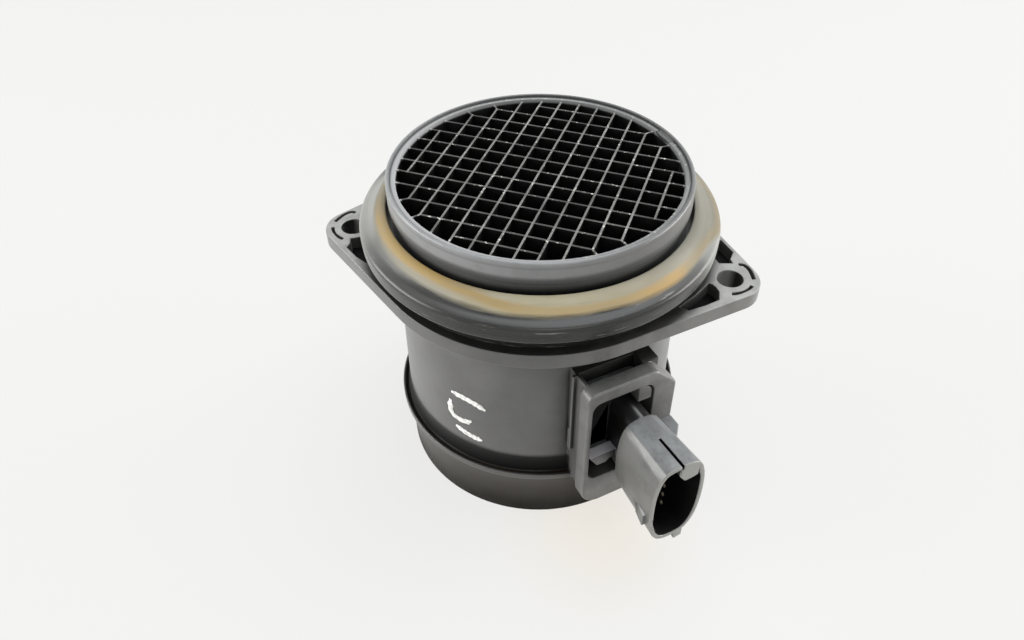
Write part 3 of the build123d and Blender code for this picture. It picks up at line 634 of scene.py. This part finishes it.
def grid_material():
    """The straightener's black plastic, dusty and pale on its top edges and ring, the ring palest on its left
    side.
    """
    finish = moulded_plastic(
        "grid_plastic", (0.010, 0.010, 0.010), (0.06, 0.06, 0.06), (0.012, 0.012, 0.012),
        (4.0 * MM, 0.40, 0.95), 0.0,
    )
    tree, place = finish.tree, finish.place
    turn, radius, height = duct_coordinates(tree, place)
    specks = noise(tree, place, 700.0, 3.0, 0.7)
    patches = noise(tree, place, 90.0, 3.0, 0.6)
    parts = separate(tree, place)
    along_x = times(tree, parts["X"], math.cos(GRID_TURN) / GRID_PITCH)
    along_y = times(tree, parts["Y"], math.sin(GRID_TURN) / GRID_PITCH)
    steps = math_node(tree, "FRACT", plus(tree, along_x, along_y, 0.5))
    on_wall = rise(tree, gap_between(tree, steps, 0.5), 0.055, 0.065, 1.0, 0.45)
    finish.cover((0.215, 0.215, 0.205), upward(tree), rise(tree, patches, 0.35, 0.65, 0.45, 1.0), on_wall)
    finish.cover((0.62, 0.60, 0.55), upward(tree), rise(tree, specks, 0.61, 0.67, 0.0, 0.8))
    ring = times(
        tree,
        rise(tree, radius, RING_INNER_RADIUS - 0.9 * MM, RING_INNER_RADIUS - 0.6 * MM),
        rise(tree, height, GRID_TOP_Z - 0.6 * MM, GRID_TOP_Z),
    )
    # The ring's top is paler on its left side than on its right.
    ring_pale_by_side = turn_share(tree, turn, [
        (-180, 0.6), (-110, 1.0), (-26, 0.72), (20, 0.48), (60, 0.42), (180, 0.6),
    ])
    finish.cover((0.35, 0.355, 0.355), ring, ring_pale_by_side)
    seam = rise(tree, radius, RING_OUTER_RADIUS - 0.50 * MM, RING_OUTER_RADIUS - 0.25 * MM, 0.0, 0.45)
    finish.cover(SEAM_SHADE, seam, ring)
    return finish.done()


def simple_finish(name, colour, second, metallic, rough, scale):
    """A finish that varies between two colours in fine clouds, for the small inner pieces."""
    finish = Finish(name)
    tree = finish.tree
    clouds = noise(tree, finish.place, scale, 3.0)
    finish.colour = blend(tree, rise(tree, clouds, 0.35, 0.65), colour, second)
    finish.feed("Roughness", rise(tree, clouds, 0.3, 0.7, rough, rough + 0.12))
    finish.feed("Normal", bump(tree, clouds, 0.2, 0.02 * MM))
    finish.fix("Metallic", metallic)
    return finish.done()


def paint_material():
    """White marker paint, thin and patchy at its edges."""
    finish = Finish("marker_paint")
    tree = finish.tree
    patches = noise(tree, finish.place, 900.0, 3.0, 0.7)
    finish.colour = blend(tree, rise(tree, patches, 0.38, 0.60), (0.50, 0.50, 0.48), (0.86, 0.86, 0.84))
    finish.feed("Roughness", rise(tree, patches, 0.3, 0.7, 0.45, 0.7))
    finish.feed("Normal", bump(tree, patches, 0.4, 0.03 * MM))
    return finish.done()


# ---- Pieces ----

def keep_piece(name, mesh, material, slot, *nodes):
    """Puts a finished mesh in the scene as a piece that stands for its nodes."""
    mesh.materials.clear()
    mesh.materials.append(material)
    piece = bpy.data.objects.new(name, mesh)
    bpy.context.scene.collection.objects.link(piece)
    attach(piece, "root")
    if nodes:
        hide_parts(*nodes)
    return piece


def plain_mesh(source, name):
    """The mesh of an object with its modifiers applied. The object itself is removed."""
    depsgraph = bpy.context.evaluated_depsgraph_get()
    mesh = bpy.data.meshes.new_from_object(source.evaluated_get(depsgraph), depsgraph=depsgraph)
    mesh.name = name
    bpy.data.objects.remove(source)
    return mesh


def plug_corners():
    """The corners of the plug's mouth round its axis, anticlockwise."""
    right = [Vector((y * PLUG_MOUTH_HALF[0], z * PLUG_MOUTH_HALF[1])) for y, z in PLUG_SHARES]
    left = [Vector((-point.x, point.y)) for point in reversed(right)]
    return right + left


def turned_corners(corners, radius, swell, steps=8):
    """A closed line with round corners of a radius, or from edge middle to edge middle without one."""
    line = []
    for i, corner in enumerate(corners):
        back = corners[i - 1] - corner
        ahead = corners[(i + 1) % len(corners)] - corner
        if radius is None:
            start, end = corner + back / 2, corner + ahead / 2
        else:
            reach = radius / math.tan(back.angle(ahead) / 2)
            start, end = corner + back.normalized() * reach, corner + ahead.normalized() * reach
        for step in range(steps + 1):
            t = step / steps
            line.append(((1 - t) ** 2 * start + 2 * t * (1 - t) * corner + t**2 * end) * swell)
    return line


def inset(line, depth):
    """A closed line moved inward by a depth."""
    moved = []
    for i, point in enumerate(line):
        along = line[(i + 1) % len(line)] - line[i - 1]
        moved.append(point + Vector((-along.y, along.x)).normalized() * depth)
    return moved


def reach_at(line, turn):
    """How far a closed line round the origin stands from it at an angle."""
    along = Vector((math.cos(turn), math.sin(turn)))
    for start, end in zip(line, [*line[1:], line[0]]):
        step = end - start
        cross = along.x * step.y - along.y * step.x
        if abs(cross) < 1e-12:
            continue
        share = (start.y * along.x - start.x * along.y) / -cross
        out = (start.x * step.y - start.y * step.x) / cross
        if -1e-9 <= share <= 1 + 1e-9 and out > 0:
            return out
    return 0.0


def round_plug(form):
    """Cuts the plug's walls lengthwise and swells them into a smooth oval."""
    middle = Vector((0.0, *SOCKET_AXIS))
    edge_x = PLUG_ROOT_X - PLUG_ROOT_MARGIN
    # A cut that passes within PLUG_CUT_REACH of a corner goes through it, so that no sliver is left.
    for cut in range(PLUG_CUTS):
        turn = math.pi * (cut + PLUG_FIRST_CUT) / PLUG_CUTS
        across = Vector((0.0, -math.sin(turn) * PLUG_MOUTH_HALF[1], math.cos(turn) * PLUG_MOUTH_HALF[0]))
        faces = [f for f in form.faces if all(v.co.x > edge_x for v in f.verts)]
        edges = {e for f in faces for e in f.edges}
        verts = {v for f in faces for v in f.verts}
        bmesh.ops.bisect_plane(
            form, geom=[*verts, *edges, *faces], dist=PLUG_CUT_REACH,
            plane_co=middle, plane_no=across.normalized(),
        )
    corners = plug_corners()
    faceted = turned_corners(corners, PLUG_CORNER, 1.0)
    smooth = turned_corners(corners, None, PLUG_SWELL)
    inner_root = inset(smooth, PLUG_WALL)
    inner_mouth = inset(smooth, PLUG_WALL - PLUG_LEAD_IN)
    for vert in form.verts:
        if vert.co.x < edge_x or any(e.other_vert(vert).co.x < edge_x for e in vert.link_edges):
            continue
        share = (vert.co.x - PLUG_ROOT_X) / (SOCKET_MOUTH_X - PLUG_ROOT_X)
        half = [root + share * (mouth - root) for root, mouth in zip(PLUG_ROOT_HALF, PLUG_MOUTH_HALF)]
        offset = Vector((vert.co.y - middle.y, vert.co.z - middle.z))
        level = Vector((offset.x / half[0] * PLUG_MOUTH_HALF[0], offset.y / half[1] * PLUG_MOUTH_HALF[1]))
        turn = math.atan2(level.y, level.x)
        reach = reach_at(faceted, turn)
        weight = (level.length / reach - PLUG_STILL_SHARE) / (PLUG_WALL_SHARE - PLUG_STILL_SHARE)
        weight = min(1.0, max(0.0, weight))
        swell = weight * (reach_at(smooth, turn) - reach)
        if INNER_FACE_SHARES[0] * reach < level.length < INNER_FACE_SHARES[1] * reach:
            if RAIL_TURNS[0] < turn < RAIL_TURNS[1]:
                swell += weight * share * PLUG_LEAD_IN
            else:
                root_reach, mouth_reach = reach_at(inner_root, turn), reach_at(inner_mouth, turn)
                swell = root_reach + share * (mouth_reach - root_reach) - level.length
        vert.co += Vector((0.0, *(offset.normalized() * swell)))


def round_plate(form):
    """Rounds the outside edge of the boss's front plate."""
    def outside(vert):
        x, y, z = vert.co
        beyond = y < WINDOW_LOW[0] or y > WINDOW_HIGH[0] or z < WINDOW_LOW[1] or z > WINDOW_HIGH[1]
        return beyond and abs(x - PLATE_FRONT_X) < PLATE_REACH

    sharp = [e for e in form.edges if e.calc_face_angle(0.0) > PLATE_SHARP_TURN]
    edges = [e for e in sharp if all(outside(v) for v in e.verts)]
    bmesh.ops.bevel(
        form, geom=edges, offset=PLATE_ROUND, offset_type="OFFSET", segments=3, profile=0.5,
        affect="EDGES", clamp_overlap=True,
    )


def pull_in_spikes(mesh, surface, reach):
    """Corners that the rounding threw off the moulding go back onto its surface."""
    for vertex in mesh.vertices:
        nearest, _, _, gap = surface.find_nearest(vertex.co)
        if gap > reach:
            vertex.co = nearest


def softened(node, name, width, material, slot, reshape):
    """A moulding with its sharp edges rounded, made from a merged and reshaped copy of its node."""
    form = bmesh.new()
    form.from_mesh(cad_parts[node].data)
    bmesh.ops.remove_doubles(form, verts=form.verts, dist=MERGE)
    bmesh.ops.dissolve_limit(form, angle_limit=FLAT_TURN, verts=form.verts, edges=form.edges)
    reshape(form)
    mesh = bpy.data.meshes.new(name)
    form.to_mesh(mesh)
    surface = BVHTree.FromBMesh(form)
    form.free()
    draft = bpy.data.objects.new(name + "_draft", mesh)
    bpy.context.scene.collection.objects.link(draft)
    rounding = draft.modifiers.new("rounding", "BEVEL")
    rounding.width = width
    rounding.segments = 2
    rounding.limit_method = "ANGLE"
    rounding.angle_limit = ROUNDED_TURN
    rounding.use_clamp_overlap = False
    weighting = draft.modifiers.new("weighting", "WEIGHTED_NORMAL")
    weighting.keep_sharp = True
    mesh.shade_smooth()
    finished = plain_mesh(draft, name)
    pull_in_spikes(finished, surface, SPIKE_SHARE * width)
    return keep_piece(name, finished, material, slot, node)


def paint_socket_shade(piece, material):
    """Gives the walls inside the plug's mouth their own near-black finish, a painted shade."""
    piece.data.materials.append(material)
    for face in piece.data.polygons:
        place = face.center
        inward = Vector((0.0, place.y - SOCKET_AXIS[0], place.z - SOCKET_AXIS[1]))
        sideways = face.normal.dot(inward) < 0.0
        floor_face = face.normal.x > 0.7 and place.x < SOCKET_FLOOR_X + SOCKET_MARGIN
        within = SOCKET_FLOOR_X - SOCKET_MARGIN < place.x < SOCKET_MOUTH_X - SOCKET_RIM
        near = abs(inward.y) < SOCKET_HALF[0] and abs(inward.z) < SOCKET_HALF[1]
        if within and near and (sideways or floor_face):
            face.material_index = 1


def socket_identifier(tree, name):
    """The identifier of a tree's named input."""
    return next(item.identifier for item in tree.interface.items_tree if item.name == name)


def seal_tree(material):
    """Geometry Nodes that turn a section round the duct's axis, with a slight ripple in its radius."""
    tree = bpy.data.node_groups.new("turned_seal", "GeometryNodeTree")
    for name, kind in (("Section", "Geometry"), ("Around", "Int"), ("Points", "Int"), ("Wave", "Float")):
        tree.interface.new_socket(name, in_out="INPUT", socket_type="NodeSocket" + kind)
    tree.interface.new_socket("Geometry", in_out="OUTPUT", socket_type="NodeSocketGeometry")
    entry = add_node(tree, "NodeGroupInput").outputs
    grid = add_node(tree, "GeometryNodeMeshGrid", {
        "Size X": 1.0, "Size Y": 1.0,
        "Vertices X": plus(tree, entry["Around"], 1.0), "Vertices Y": entry["Points"],
    })
    index = add_node(tree, "GeometryNodeInputIndex").outputs[0]
    row = math_node(tree, "MODULO", index, entry["Points"])
    column = math_node(tree, "FLOOR", math_node(tree, "DIVIDE", plus(tree, index, 0.5), entry["Points"]))
    position = add_node(tree, "GeometryNodeInputPosition").outputs[0]
    sample = add_node(
        tree, "GeometryNodeSampleIndex",
        {"Geometry": entry["Section"]},
        data_type="FLOAT_VECTOR", domain="POINT",
    )
    value_in = next(s for s in sample.inputs if s.name == "Value" and s.enabled)
    tree.links.new(position, value_in)
    tree.links.new(row, sample.inputs["Index"])
    value_out = next(s for s in sample.outputs if s.enabled)
    section = separate(tree, value_out)
    turn = times(tree, math_node(tree, "DIVIDE", column, entry["Around"]), 2 * math.pi)
    ripples = [math_node(tree, "SINE", times(tree, turn, waves)) for waves in (5.0, 3.0)]
    radius = plus(tree, section["X"], times(tree, plus(tree, *ripples), entry["Wave"]))
    target = add_node(tree, "ShaderNodeCombineXYZ", {
        "X": times(tree, radius, math_node(tree, "COSINE", turn)),
        "Y": times(tree, radius, math_node(tree, "SINE", turn)),
        "Z": section["Z"],
    })
    steps = [
        ("GeometryNodeSetPosition", {"Position": target.outputs[0]}),
        ("GeometryNodeMergeByDistance", {"Distance": WELD}),
        ("GeometryNodeRealizeInstances", {}),
        ("GeometryNodeSetMaterial", {"Material": material}),
    ]
    geometry = grid.outputs[0]
    for kind, inputs in steps:
        geometry = add_node(tree, kind, {0: geometry, **inputs}).outputs[0]
    tree.links.new(geometry, add_node(tree, "NodeGroupOutput").inputs[0])
    return tree


def smooth_span(before, start, end, after, steps):
    """Points of a Catmull-Rom span from its start up to its end, which belongs to the next span."""
    span = []
    for step in range(steps):
        t = step / steps
        span.append(0.5 * (
            2 * start + (end - before) * t + (2 * before - 5 * start + 4 * end - after) * t**2
            + (3 * start - before - 3 * end + after) * t**3
        ))
    return span


def smooth_loop(points, steps):
    """A smooth closed line through the points."""
    line = []
    for i in range(len(points)):
        line += smooth_span(*(points[(i + k) % len(points)] for k in (-1, 0, 1, 2)), steps)
    return line


def smooth_line(points, steps):
    """A smooth open line through the points."""
    ends = [points[0] * 2 - points[1], *points, points[-1] * 2 - points[-2]]
    line = []
    for four in zip(ends, ends[1:], ends[2:], ends[3:]):
        line += smooth_span(*four, steps)
    return [*line, points[-1].copy()]


def inlet_seal(material):
    """The rubber seal, turned from its section by Geometry Nodes."""
    line = smooth_loop([Vector((r, 0.0, z)) for r, z in SEAL_PROFILE], SEAL_SMOOTH)
    line.append(line[0].copy())
    section = bpy.data.meshes.new("seal_section")
    section.from_pydata([point * MM for point in line], [(i, i + 1) for i in range(len(line) - 1)], [])
    draft = bpy.data.objects.new("seal_draft", section)
    bpy.context.scene.collection.objects.link(draft)
    turning = draft.modifiers.new("turning", "NODES")
    tree = seal_tree(material)
    turning.node_group = tree
    for name, value in (("Around", SEAL_AROUND), ("Points", len(line)), ("Wave", SEAL_WAVE)):
        turning[socket_identifier(tree, name)] = value
    mesh = plain_mesh(draft, "inlet_seal_rubber")
    form = bmesh.new()
    form.from_mesh(mesh)
    bmesh.ops.remove_doubles(form, verts=form.verts, dist=WELD)
    bmesh.ops.recalc_face_normals(form, faces=form.faces)
    form.to_mesh(mesh)
    form.free()
    mesh.shade_smooth()
    return keep_piece("inlet_seal_rubber", mesh, material, "seal_rubber", "inlet_seal")


def body_radius(height):
    """The duct body's outside radius at a height."""
    share = (height - BODY_FOOT_Z) / (FLANGE_UNDER_Z - BODY_FOOT_Z)
    return BODY_FOOT_RADIUS + share * (BODY_HEAD_RADIUS - BODY_FOOT_RADIUS)


def stroke_rows(form, stroke):
    """The rows of corners across a stroke, bent round the body, wide in its middle and ragged along it."""
    flat = [Vector((math.radians(angle) * BODY_HEAD_RADIUS, height * MM)) for angle, height in stroke]
    line = smooth_line(flat, PAINT_SMOOTH)
    rows = []
    for i, point in enumerate(line):
        along = (line[min(i + 1, len(line) - 1)] - line[max(i - 1, 0)]).normalized()
        across = Vector((-along.y, along.x))
        done = i / (len(line) - 1)
        taper = min(1.0, 4.0 * done + 0.45, 4.0 * (1.0 - done) + 0.35)
        ragged = 1.0 + 0.12 * math.sin(37.0 * done + 9.0 * flat[0].y / MM)
        row = []
        for share, lift in zip(PAINT_SHARES, PAINT_LIFTS):
            spot = point + across * (share * 0.5 * PAINT_WIDTH * taper * ragged)
            radius = body_radius(spot.y) + PAINT_LIFT * lift
            angle = spot.x / BODY_HEAD_RADIUS
            row.append(form.verts.new((radius * math.cos(angle), radius * math.sin(angle), spot.y)))
        rows.append(row)
    return rows


def paint_mark(material):
    """Brushed strokes of white marker on the duct's body, each a closed shell."""
    form = bmesh.new()
    for stroke in PAINT_STROKES:
        rows = stroke_rows(form, stroke)
        for row, later in zip(rows, rows[1:]):
            for a, b, c, d in zip(row, row[1:], later[1:], later):
                form.faces.new((a, b, c, d))
        for row in (rows[0], rows[-1]):
            form.faces.new(row)
        for row, later in zip(rows, rows[1:]):
            form.faces.new((row[0], later[0], later[-1], row[-1]))
    bmesh.ops.recalc_face_normals(form, faces=form.faces)
    mesh = bpy.data.meshes.new("paint_mark")
    form.to_mesh(mesh)
    form.free()
    mesh.shade_smooth()
    return keep_piece("paint_mark", mesh, material, "housing_plastic")


# ---- Stage ----

def white_share(tree, seen, rays):
    """Where a bright surface shows itself: to the camera, through glass and where it is seen otherwise."""
    shown = math_node(tree, "MAXIMUM", rays["Is Camera Ray"], seen)
    return math_node(tree, "MAXIMUM", shown, rays["Is Transmission Ray"])


def floor_material():
    """A pale floor that glows to the eye and keeps a soft shadow, with a painted warm glow by the plug,
    painted shade in the duct's bore and a painted shadow in reflections near the duct.
    """
    material = bpy.data.materials.new("pale_floor")
    material.use_nodes = True
    tree = material.node_tree
    tree.nodes.clear()
    rays = add_node(tree, "ShaderNodeLightPath").outputs
    place = add_node(tree, "ShaderNodeTexCoord").outputs["Object"]
    from_axis = length(tree, place)
    # Painted shadow in reflections: mirrors see no glow from the floor close round the duct.
    far = rise(tree, from_axis, SPIGOT_RADIUS + 0.5 * MM, SPIGOT_RADIUS + 29.5 * MM)
    shown = white_share(tree, times(tree, rays["Is Glossy Ray"], far), rays)
    diffuse = add_node(tree, "ShaderNodeBsdfDiffuse", {"Color": (0.80, 0.79, 0.77, 1.0)}).outputs[0]
    # Painted light: a warm glow on the floor beside the plug.
    warm = fall(tree, distance(tree, place, WARM_SPOT), 4.0 * MM, 34.0 * MM, 0.55)
    tint = blend(tree, warm, (0.85, 0.85, 0.842), (0.87, 0.79, 0.66))
    glow = add_node(tree, "ShaderNodeEmission", {"Color": tint, "Strength": 1.0}).outputs[0]
    # Painted shade: the floor gives no glow inside the duct's bore.
    outside = rise(tree, from_axis, SPIGOT_RADIUS - 2.0 * MM, SPIGOT_RADIUS - 0.5 * MM)
    mix = add_node(tree, "ShaderNodeMixShader", {0: times(tree, shown, 0.88, outside), 1: diffuse, 2: glow})
    tree.links.new(mix.outputs[0], add_node(tree, "ShaderNodeOutputMaterial").inputs["Surface"])
    return material


def stage_floor():
    """The floor, at the foot of the duct."""
    mesh = bpy.data.meshes.new("floor")
    corners = [(x * FLOOR_HALF, y * FLOOR_HALF, 0) for x, y in ((-1, -1), (1, -1), (1, 1), (-1, 1))]
    mesh.from_pydata(corners, [], [(0, 1, 2, 3)])
    mesh.materials.append(floor_material())
    floor = bpy.data.objects.new("floor", mesh)
    bpy.context.scene.collection.objects.link(floor)


def pale_world():
    """A pale world, brighter to the eye and in mirrors than as a light."""
    world = bpy.data.worlds.new("pale_room")
    bpy.context.scene.world = world
    world.use_nodes = True
    tree = world.node_tree
    tree.nodes.clear()
    rays = add_node(tree, "ShaderNodeLightPath").outputs
    shown = white_share(tree, rays["Is Glossy Ray"], rays)
    soft = add_node(tree, "ShaderNodeBackground", {"Color": (0.96, 0.98, 1.0, 1.0), "Strength": 0.34})
    white = add_node(tree, "ShaderNodeBackground", {"Color": (0.88, 0.88, 0.88, 1.0), "Strength": 1.0})
    mix = add_node(tree, "ShaderNodeMixShader", {0: shown, 1: soft.outputs[0], 2: white.outputs[0]})
    tree.links.new(mix.outputs[0], add_node(tree, "ShaderNodeOutputWorld").inputs["Surface"])


def soft_light(name, place, size, watts, colour):
    """A square soft light aimed at the middle of the object."""
    light = bpy.data.lights.new(name, "AREA")
    light.size = size
    light.energy = watts
    light.color = colour
    lamp = bpy.data.objects.new(name, light)
    bpy.context.scene.collection.objects.link(lamp)
    lamp.location = place
    lamp.rotation_mode = "QUATERNION"
    lamp.rotation_quaternion = (Vector(LIGHT_AIM) - Vector(place)).to_track_quat("-Z", "Y")


def camera():
    """The camera, aimed at a point and rolled a little."""
    data = bpy.data.cameras.new("camera")
    data.lens = CAMERA_LENS
    data.sensor_width = 36.0
    data.sensor_fit = "HORIZONTAL"
    data.clip_start = 0.01
    data.clip_end = 20.0
    lens = bpy.data.objects.new("camera", data)
    bpy.context.scene.collection.objects.link(lens)
    forward = (CAMERA_AIM - CAMERA_PLACE).normalized()
    level = forward.cross(Vector((0.0, 0.0, 1.0))).normalized()
    right = level * math.cos(CAMERA_ROLL) + level.cross(forward) * math.sin(CAMERA_ROLL)
    axes = Matrix((right, right.cross(forward), -forward)).transposed().to_4x4()
    lens.matrix_world = Matrix.Translation(CAMERA_PLACE) @ axes
    bpy.context.scene.camera = lens


# ---- Build ----

# A near-black finish that paints the shade deep inside the plug's mouth.
socket_painted_shade = moulded_plastic(
    "socket_painted_shade", (0.012, 0.012, 0.012), (0.02, 0.02, 0.02), (0.03, 0.03, 0.03),
    (14.0 * MM, 0.50, 0.95), 0.10,
).done()
cover_plastic = moulded_plastic(
    "cover_plastic", (0.07, 0.07, 0.072), (0.25, 0.26, 0.28), (0.18, 0.18, 0.18)
).done()
chip_plastic = moulded_plastic("chip_plastic", (0.03, 0.03, 0.03), (0.2, 0.2, 0.2), (0.1, 0.1, 0.1)).done()
ring_rubber = simple_finish("ring_rubber", (0.05, 0.05, 0.05), (0.08, 0.08, 0.08), 0.0, 0.5, 700.0)
sheet_aluminium = simple_finish("sheet_aluminium", (0.72, 0.73, 0.75), (0.80, 0.80, 0.81), 1.0, 0.30, 500.0)
board_ceramic = simple_finish("board_ceramic", (0.80, 0.79, 0.73), (0.86, 0.85, 0.80), 0.0, 0.35, 600.0)
clear_gel = simple_finish("clear_gel", (0.62, 0.68, 0.72), (0.70, 0.75, 0.78), 0.0, 0.08, 200.0)
capacitor_ceramic = simple_finish(
    "capacitor_ceramic", (0.50, 0.38, 0.25), (0.60, 0.47, 0.32), 0.0, 0.4, 900.0
)
film_silicon = simple_finish("film_silicon", (0.20, 0.23, 0.30), (0.28, 0.30, 0.36), 0.3, 0.12, 900.0)
bead_glass = simple_finish("bead_glass", (0.30, 0.25, 0.18), (0.38, 0.32, 0.24), 0.0, 0.10, 900.0)
lead_steel = simple_finish("lead_steel", (0.66, 0.66, 0.64), (0.74, 0.74, 0.72), 1.0, 0.28, 2000.0)
# Tin darkened to a painted shade, as the pins stand deep in the plug's mouth.
shaded_pin_tin = simple_finish("shaded_pin_tin", (0.06, 0.054, 0.042), (0.10, 0.09, 0.065), 1.0, 0.45, 1500.0)

CARRIED_OVER = {
    "flow_straightener": grid_material(),
    "probe_seal": ring_rubber,
    "electronics_cover": cover_plastic,
    "bypass_cover": cover_plastic,
    "carrier_plate": sheet_aluminium,
    "circuit_board": board_ceramic,
    "protective_gel": clear_gel,
    "signal_chip": chip_plastic,
    "capacitors": capacitor_ceramic,
    "element_holder": chip_plastic,
    "hot_film_chip": film_silicon,
    "temperature_bead": bead_glass,
    **{f"temperature_lead_{number}": lead_steel for number in (1, 2)},
    **{f"contact_pin_{number}": shaded_pin_tin for number in (1, 2, 3, 4, 5)},
}
for node, finish in CARRIED_OVER.items():
    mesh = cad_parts[node].data
    mesh.materials.clear()
    mesh.materials.append(finish)

softened(
    "tube_housing", "duct_housing_moulding", HOUSING_ROUND, housing_material(), "housing_plastic", round_plate
)
sensor = softened(
    "sensor_housing", "sensor_moulding", SENSOR_ROUND, sensor_material(), "sensor_plastic", round_plug
)
paint_socket_shade(sensor, socket_painted_shade)
inlet_seal(seal_rubber_material())
paint_mark(paint_material())

bpy.context.scene.view_settings.view_transform = "Standard"
camera()
stage_floor()
pale_world()
soft_light("overhead_light", (-0.10, 0.20, 0.90), 0.9, 9.0, (0.95, 0.975, 1.0))
soft_light("front_light", (0.80, -0.20, 0.60), 0.6, 2.0, (1.0, 0.97, 0.92))
soft_light("left_light", (-0.42, -0.90, 0.26), 0.8, 15.0, (1.0, 0.99, 0.97))
soft_light("right_light", (0.30, 0.95, 0.14), 0.8, 18.0, (1.0, 0.98, 0.95))
